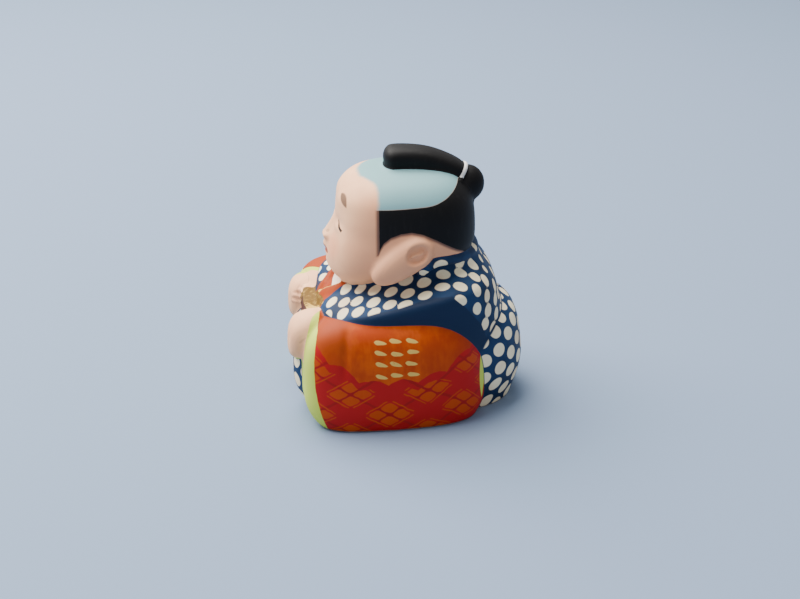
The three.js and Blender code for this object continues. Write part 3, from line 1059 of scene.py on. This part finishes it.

# Cape: the same dots on the shoulders and back, the plain board over the sleeve painted darker navy as painted
# shade, and the lapels and throat.
on_board = attribute("on_board")
cape_dots = least(attribute("in_shoulder_dots") + wander * 0.3, attribute("on_cape") - 0.2, -on_board)
# Painted shade: the plain board under the shoulder ridge is painted a darker navy.
cape = coat(navy, NAVY_DEEP, inside_edge(on_board, 0.2))
cape = coat(cape, cream, inside_edge(cape_dots, 0.12))
cape = coat(cape, COLLAR_WHITE, inside_edge(attribute("on_throat")))
lapels = coat(ORANGE_DARK, ORANGE_DEEP, eased(brushed, 0.4, 0.75, 0, 0.4))
cape = coat(cape, lapels, inside_edge(attribute("on_lapels") + wander * 0.2))
cape = coat(cape, GOLD_PALE, inside_edge(attribute("on_lapel_trim") + wander * 0.2))

# Fan: gilded, with a pale and dark mottle near the left hand for crumpled gold leaf, painted highlights and
# shade, and dark brown on its folded face. The right fingers lie over its end.
CRUMPLED_GLINTS_FROM = (4.3, -30.8)
CRUMPLED_GLINTS_SLANT = 1.18
CRUMPLED_GLINTS_FRONT = -31
FAR_FINGERS = (-6.8, 29.8)
crumpled_glints = inside_edge(x - CRUMPLED_GLINTS_FROM[0] - (y - CRUMPLED_GLINTS_FROM[1]) * CRUMPLED_GLINTS_SLANT, 0.4)
crumpled_glints = crumpled_glints * inside_edge(y - CRUMPLED_GLINTS_FRONT)
fan = coat(GOLD, GOLD_PALE, eased(mottle(spot, 0.7, 4), 0.5, 0.75, 0, 0.3))
# Painted highlights and shade: a pale and dark mottle for the crinkled gold leaf near the left hand.
fan = coat(fan, coat(GOLD_DARK, GOLD_PALE, eased(mottle(spot, 0.55, 3), 0.42, 0.58)), crumpled_glints)
cape = coat(cape, fan, inside_edge(attribute("on_gold") + wander * 0.3))
fan = coat(fan, FAN_BROWN, inside_edge(attribute("on_fan_face")))
fan = coat(SKIN, fan, inside_edge(most(x - FAR_FINGERS[0], FAR_FINGERS[1] - z) + wander * 0.3))

# Sleeve: orange, with painted shade making it darker behind, on the top front and under the net, and a red net
# hung over its lower part in scallops.
SLEEVE_LAY_FROM = (4.5, -14.2)
TOP_SHADE_AHEAD = (15, 21)
TOP_SHADE_ABOVE = (23, 29)
SHADE_BEHIND = (0, 18)
sleeve_along, sleeve_up, _ = three(attribute("lay_sleeve", "Vector"))
sleeve_along = sleeve_along - SLEEVE_LAY_FROM[0]
sleeve_up = sleeve_up - SLEEVE_LAY_FROM[1]
sleeve = coat(ORANGE, ORANGE_DEEP, eased(brushed * 0.25 + tone * 0.75, 0.4, 0.65, 0, 0.6))
# Painted shade: the top front of the sleeve is painted a darker orange.
sleeve = coat(sleeve, ORANGE_DARK, eased(-y, *TOP_SHADE_AHEAD) * eased(z, *TOP_SHADE_ABOVE))
# Painted shade: the sleeve is painted a darker orange towards the back.
sleeve = coat(sleeve, ORANGE_DEEP, eased(y, *SHADE_BEHIND) * 0.8)

NET_PITCH = 12.2
NET_TURN = (0.531, 0.847)
DRAPE_HEIGHT = 16
DRAPE_MIDDLE = -6.5
DRAPE_CURVE = 0.0145
DRAPE_MOST = 12
DRAPE_FRONT = (12, 22)
DRAPE_FRONT_RISE = 3.2
SCALLOP_FROM = -6.9
SCALLOP_WIDE = 8.7
SCALLOP_TALL = 1.8
NET_SAG_SPAN = (4, 16)
NET_SAG = 2.6
ROPE_STARTS = (7.92, 2.75)
drape = eased(squared(sleeve_along - DRAPE_MIDDLE) * DRAPE_CURVE, 0, DRAPE_MOST, 0, DRAPE_MOST) + DRAPE_HEIGHT
drape = drape + eased(-sleeve_along, *DRAPE_FRONT, 0, DRAPE_FRONT_RISE)
scallop = size_of(worked("SINE", (sleeve_along - SCALLOP_FROM) * (math.pi / SCALLOP_WIDE))) * SCALLOP_TALL
net_edge = drape + scallop - sleeve_up + wander
net_up = sleeve_up - eased(sleeve_along, *NET_SAG_SPAN, 0, NET_SAG)
rope_one = sleeve_along * NET_TURN[0] + net_up * NET_TURN[1] - ROPE_STARTS[0] + wander
rope_two = net_up * NET_TURN[1] - sleeve_along * NET_TURN[0] - ROPE_STARTS[1] - wander

MESH_MIDDLE = 4.2
MESH_HALF = 1.62
MESH_SQUARE = 4.5
SLIVER_AT = 1.9
SLIVER_HALF = 0.2
SLIVER_FROM = 2.8
NET_BORDER_HALF = 1.3


def from_rope(across):
    return worked("PINGPONG", across, NET_PITCH / 2)


def mesh_of(distance_one, distance_two):
    off_one = worked("POWER", size_of(distance_one - MESH_MIDDLE), MESH_SQUARE)
    off_two = worked("POWER", size_of(distance_two - MESH_MIDDLE), MESH_SQUARE)
    return MESH_HALF - worked("POWER", off_one + off_two, 1 / MESH_SQUARE)


def sliver_of(distance_one, distance_two):
    return least(SLIVER_HALF - size_of(distance_one - SLIVER_AT), distance_two - SLIVER_FROM)


from_one, from_two = from_rope(rope_one), from_rope(rope_two)
meshes = mesh_of(from_one, from_two)
slivers = most(sliver_of(from_one, from_two), sliver_of(from_two, from_one))
net = least(-most(meshes, slivers), net_edge)
net = most(net, least(NET_BORDER_HALF - size_of(net_edge - NET_BORDER_HALF), net_edge))
between_ropes = eased(most(from_one, from_two), NET_PITCH / 2 - 0.6, NET_PITCH / 2 - 0.2, 0, 0.5)
net_colour = coat(NET_RED, NET_DARK, between_ropes)
# Painted shade: the lower part of the sleeve, under the net's edge, is painted a darker orange.
sleeve = coat(sleeve, ORANGE_LOW_SHADE, inside_edge(net_edge) * 0.8)
sleeve = coat(sleeve, net_colour, inside_edge(net, 0.15) * 0.94)

# Rows of short brush strokes in pale gold, which are no letters, then the green of the cuff and of the slit
# behind.
STROKE_GAP = (4.7, 3.5)
STROKES_MIDDLE = (-4.55, 24.3)
STROKES_HALF = 6.9
STROKE_SEED = 11
STROKE_STRAY = (0.7, 0.5)
STROKE_SLANT = 0.22
STROKE_SLANT_STRAY = 0.3
STROKE_HALF_LONG = 1.85
STROKE_HALF_WIDE = 0.62
STROKE_TAPER = 0.12
stroke_across = sleeve_along - STROKES_MIDDLE[0]
stroke_up = sleeve_up - STROKES_MIDDLE[1]
stroke_column = worked("ROUND", stroke_across / STROKE_GAP[0])
stroke_row = worked("ROUND", stroke_up / STROKE_GAP[1] - 0.5)
stray_x, stray_y, stray_turn = chance(vector_of(stroke_column, stroke_row, STROKE_SEED))
dab_across = stroke_across - stroke_column * STROKE_GAP[0] + (stray_x - 0.5) * STROKE_STRAY[0]
dab_up = stroke_up - (stroke_row + 0.5) * STROKE_GAP[1] + (stray_y - 0.5) * STROKE_STRAY[1]
dab_up = dab_up + dab_across * (STROKE_SLANT + (stray_turn - 0.5) * STROKE_SLANT_STRAY)
dab_length = squared(dab_across / STROKE_HALF_LONG)
dab = (STROKE_HALF_WIDE - dab_across * STROKE_TAPER) * (1 - dab_length * dab_length) - size_of(dab_up)
dab = least(dab, STROKES_HALF - size_of(stroke_across), STROKES_HALF - size_of(stroke_up))
stroke_gold = coat(GOLD_PALE, ORANGE, eased(mottle(spot, 1.6, 2), 0.62, 0.8, 0, 0.6))
sleeve = coat(sleeve, stroke_gold, inside_edge(dab + wander * 0.3, 0.1))

SLIT_HALF = 0.8
SLIT_MIDDLE = (21.7, 13.4)
SLIT_REACH = 7.8
SLIT_SLANT = 0.04
SLIT_SLANT_FROM = 12
slit_line = y - SLIT_MIDDLE[0] + (z - SLIT_SLANT_FROM) * SLIT_SLANT
slit = SLIT_HALF - squared((z - SLIT_MIDDLE[1]) / SLIT_REACH) * SLIT_HALF - size_of(slit_line)
green = most(attribute("on_cuff") + wander * 0.4, slit + wander * 0.2)
sleeve = coat(sleeve, CUFF_GREEN, inside_edge(green, 0.1))

# Head: pale skin with a blush, painted shade darker towards the sides, closed lids, small brows and mouth, a
# faint nostril mark of painted shade, the shaved crown, and black hair round it.
SIDE_SHADE_SPAN = (12, 19)
BLUSH_MIDDLE = (8.5, 51.5)
BLUSH_SPREAD = (6, 5)
BLUSH_FRONT = (-14, -18)
bare_skin = coat(SKIN, SKIN_SHADE, eased(tone, 0.35, 0.8, 0, 0.7))
# Painted shade: the skin is painted darker towards the sides of the head.
skin = coat(bare_skin, CHEEK_PAINTED_SHADE, eased(side, *SIDE_SHADE_SPAN) * 0.6)
blush_aside = squared((side - BLUSH_MIDDLE[0]) / BLUSH_SPREAD[0])
blush_up = squared((z - BLUSH_MIDDLE[1]) / BLUSH_SPREAD[1])
bloom = eased(blush_aside + blush_up, 1, 0) * eased(y, *BLUSH_FRONT)
skin = coat(skin, BLUSH, bloom * 0.4)


def face_stroke(start, end, bend, width, width_end):
    run_x, run_z = end[0] - start[0], end[1] - start[1]
    length = math.hypot(run_x, run_z)
    run_x, run_z = run_x / length, run_z / length
    along = (side - start[0]) * run_x + (z - start[1]) * run_z
    across = (z - start[1]) * run_x - (side - start[0]) * run_z
    share = along / length
    arch = share * (1 - share) * (4 * bend)
    half = share * (width_end - width) + width
    ends = least(along, length - along)
    body = half - size_of(across - arch)
    return least(body, ends * 0.6, FACE_BEHIND - y)


def oval(middle, half):
    return 1 - squared((side - middle[0]) / half[0]) - squared((z - middle[1]) / half[1])


BROW_START = (6.6, 67.5)
BROW_WAY = (0.889, 0.459)
BROW_LENGTH = 6.7
BROW_BEND = 0.6
BROW_HALF = 1.5
BROW_FULLNESS = 0.7
BROW_CUT = 0.45
MOUTH_FRONT = -20
brow_aside = side - BROW_START[0]
brow_up = z - BROW_START[1]
brow_along = (brow_aside * BROW_WAY[0] - brow_up * BROW_WAY[1]) / BROW_LENGTH
brow_arch = worked("MAXIMUM", brow_along * (1 - brow_along) * 4, 0)
brow_across = brow_aside * BROW_WAY[1] + brow_up * BROW_WAY[0] - brow_arch * BROW_BEND
brow_half = worked("POWER", brow_arch, BROW_FULLNESS) * BROW_HALF - BROW_CUT
brow = least(brow_half - size_of(brow_across), FACE_BEHIND - y)
lid = face_stroke((7, 59.3), (11.7, 57.2), -0.35, 0.34, 0.42)
skin = coat(skin, BROW, inside_edge(brow + wander * 0.2, 0.3) * 0.85)
skin = coat(skin, LID, inside_edge(lid + wander * 0.1, 0.1))
mouth = oval((0, 48.3), (5.3, 1.15))
skin = coat(skin, LIPS, inside_edge(least(mouth, MOUTH_FRONT - y), 0.25) * 0.9)
# Painted shade: a faint grey-brown mark for the hollow of the nostril.
nostril = oval((2, 54), (0.7, 0.45))
skin = coat(skin, HAIR_EDGE, inside_edge(least(nostril, MOUTH_FRONT - y), 0.6) * 0.4)

HAIR_FRONT = -8.8
CROWN_FRONT = -14.2
CROWN_SPAN = (2, 15)
CROWN_DRAWS_BACK = 5.2
NAPE_FROM = 6.6
NAPE_TOP = 51.2
NAPE_SLOPE = -0.17
NAPE_SLOPE_FROM = 7
NAPE_FOOT = 44
hair_front = y - HAIR_FRONT
hair_top = attribute("under_hair_top")
hair_low = attribute("over_hair_low")
crown = y - CROWN_FRONT - eased(side, *CROWN_SPAN, 0, CROWN_DRAWS_BACK)
pate = least(eased(crown + wander, -0.9, 0.9), inside_edge(-hair_top, 0.3))
skin = coat(skin, PATE, pate)
hair = least(hair_front, hair_top, hair_low) + wander * 0.25
shadow = least(eased(least(hair_front + 0.1, hair_low), -1.3, -0.2), inside_edge(hair_top))
skin = coat(skin, HAIR_EDGE, shadow)
nape_top = NAPE_TOP - z + (y - NAPE_SLOPE_FROM) * NAPE_SLOPE
neck_edge = least(y - NAPE_FROM, nape_top, z - NAPE_FOOT) + wander * 0.2
skin = coat(skin, navy, inside_edge(neck_edge, 0.12))
hair_colour = coat(HAIR, HAIR_STREAK, eased(brushed, 0.5, 0.8))
head = coat(skin, hair_colour, inside_edge(hair, 0.12))

# Topknot: the same black hair, with its white tie.
TIE_HALF = 0.62
to_tie = size_of((y - TIE_MIDDLE[1]) * float(tie_axis[1]) + (z - TIE_MIDDLE[2]) * float(tie_axis[2]))
knot = coat(hair_colour, TIE_WHITE, inside_edge(TIE_HALF - to_tie + wander * 0.2, 0.1))

# Hands: bare skin with faint painted shade in the creases between the fingers. The sleeve is painted as far as
# the hand's edge.
shaded_hand_skin = coat(bare_skin, HAIR_EDGE, eased(attribute("to_finger_shade_line"), 0.5, 0.15) * 0.25)
on_hand = attribute("on_hand")
hands = coat(sleeve, shaded_hand_skin, inside_edge(on_hand + wander * 0.3))

colour = trousers
for part, look in (
    ("cape", cape), ("sleeve", hands), ("head", head), ("hair_knot", knot), ("fan", fan), ("fist", hands),
):
    colour = coat(colour, look, inside_edge(attribute("on_" + part) + wander * 0.15, 0.09))
colour = coat(colour, BARE_CLAY, eased(z, 0.45, 0.25))
links.new(colour.socket, finish.inputs["Base Color"])
finish.inputs["Roughness"].default_value = 0.6
finish.inputs["Specular IOR Level"].default_value = 0.2

doll.data.materials.clear()
doll.data.materials.append(clay)

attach(doll, "root")
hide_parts("clay_doll")


# Floor: plain pale paper, with soft daylight from the upper left.

PAPER_COLOUR = (0.19, 0.262, 0.385, 1)
PAPER_WIDE = 6
ROOM_COLOUR = (0.94, 0.95, 1, 1)
ROOM_STRENGTH = 0.58

bpy.ops.mesh.primitive_plane_add(size=PAPER_WIDE, location=(0, 0, 0))
floor = bpy.context.object
floor.name = "paper_floor"
paper = bpy.data.materials.new("pale_paper")
paper.use_nodes = True
paper_finish = paper.node_tree.nodes["Principled BSDF"]
paper_finish.inputs["Base Color"].default_value = PAPER_COLOUR
paper_finish.inputs["Roughness"].default_value = 0.9
floor.data.materials.append(paper)

world = bpy.data.worlds.new("room_light")
world.use_nodes = True
backdrop = world.node_tree.nodes["Background"]
backdrop.inputs["Color"].default_value = ROOM_COLOUR
backdrop.inputs["Strength"].default_value = ROOM_STRENGTH
bpy.context.scene.world = world

CAMERA_AIM = Vector((0, -0.0015, 0.02975))
CAMERA_AWAY = 0.4122
CAMERA_TURN = math.radians(86)
CAMERA_RISE = math.radians(24)
CAMERA_LENS = 60
CAMERA_SENSOR = 36

away = Vector((
    math.sin(CAMERA_TURN) * math.cos(CAMERA_RISE),
    -math.cos(CAMERA_TURN) * math.cos(CAMERA_RISE),
    math.sin(CAMERA_RISE),
))
bpy.ops.object.camera_add(location=CAMERA_AIM + CAMERA_AWAY * away)
camera = bpy.context.object
camera.rotation_euler = away.to_track_quat("Z", "Y").to_euler()
camera.data.lens = CAMERA_LENS
camera.data.sensor_width = CAMERA_SENSOR
bpy.context.scene.camera = camera


def add_lamp(name, place, aim, size, power, tint):
    bpy.ops.object.light_add(type="AREA", location=place)
    lamp = bpy.context.object
    lamp.name = name
    lamp.rotation_euler = (Vector(place) - Vector(aim)).to_track_quat("Z", "Y").to_euler()
    lamp.data.size = size
    lamp.data.energy = power
    lamp.data.color = tint


add_lamp("window", (-0.3, -0.4, 0.9), (0, 0, 0.03), 1.1, 46, (1, 0.97, 0.92))
